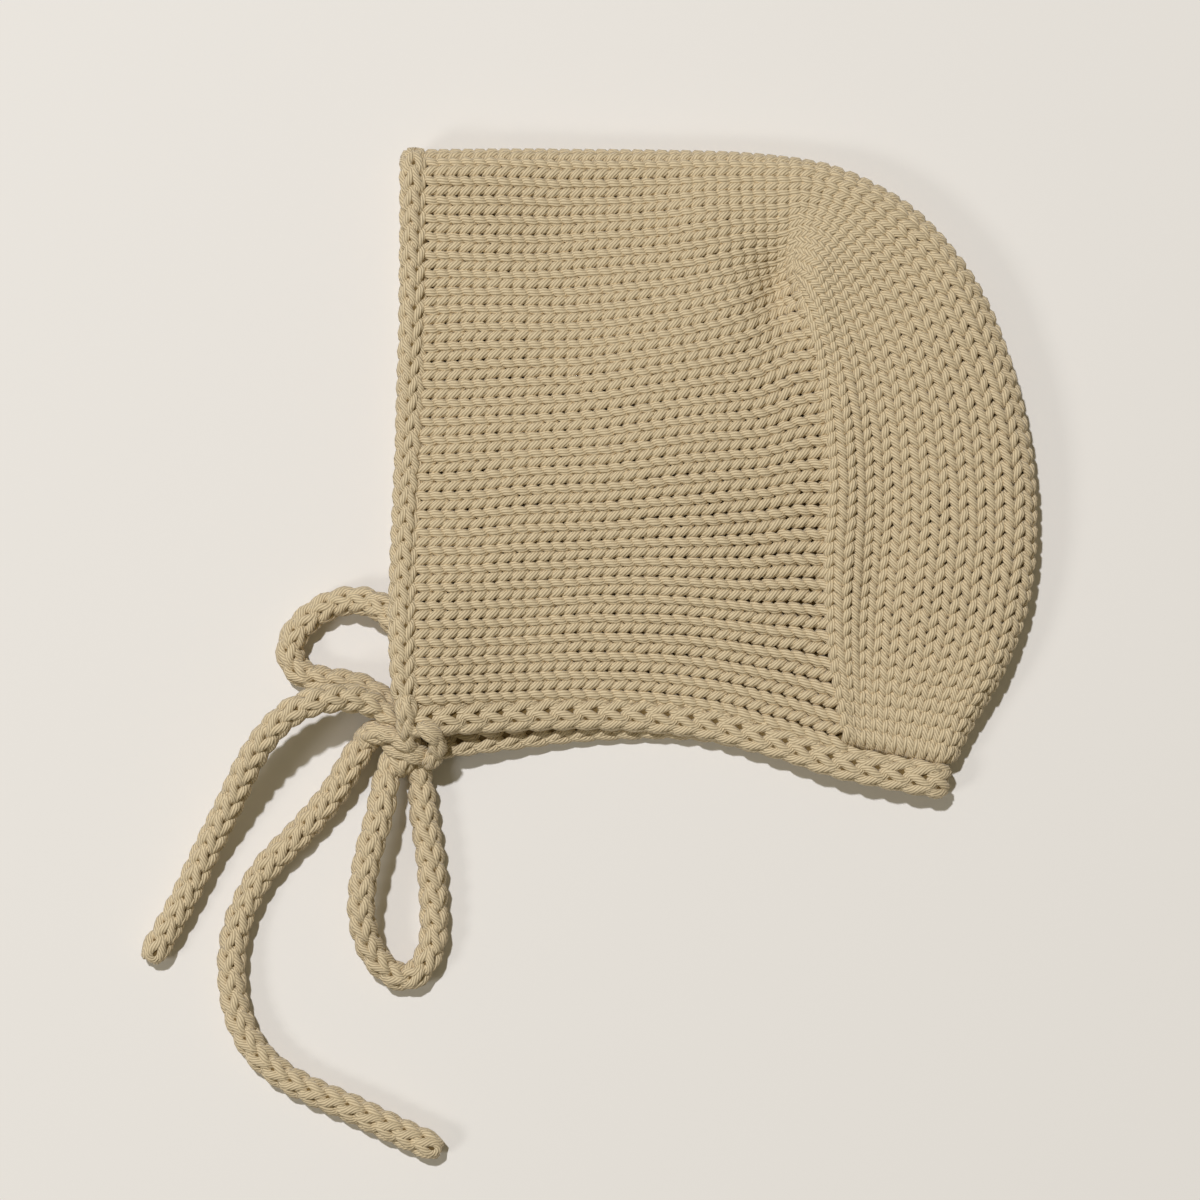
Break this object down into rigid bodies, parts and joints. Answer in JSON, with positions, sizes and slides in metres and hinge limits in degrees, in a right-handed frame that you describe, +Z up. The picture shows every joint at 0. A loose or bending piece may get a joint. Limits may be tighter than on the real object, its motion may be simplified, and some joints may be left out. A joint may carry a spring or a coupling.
{
  "type": "baby bonnet",
  "caption": "Knitted baby bonnet pressed flat on its side, with a rolled face edge, a chain-stitch neck edge and cord ties knotted in a bow.",
  "frame": {"origin": "on the surface that the bonnet lies on, under the middle of its outline without the ties", "axes": "+Z up from the surface, +Y from the neck edge to the crown, +X from the face edge to the back of the head"},
  "size_m": [0.2335, 0.2644, 0.0249],
  "materials": {
    "side_panel": "matte knitted cotton",
    "back_panel": "matte knitted cotton",
    "front_band": "matte knitted cotton",
    "neck_band": "matte knitted cotton",
    "tie": "matte knitted cotton cord",
    "knot": "matte knitted cotton cord"
  },
  "bodies": {
    "root": {"side_panel": "side_panel", "back_panel": "back_panel", "front_band": "front_band", "neck_band": "neck_band", "bow_knot": "knot", "tie_lead_near": "knot", "tie_lead_far": "knot", "tie_loop_upper": "tie", "tie_loop_lower": "tie", "tie_end_upper": "tie", "tie_end_lower": "tie"}
  },
  "joints": []
}
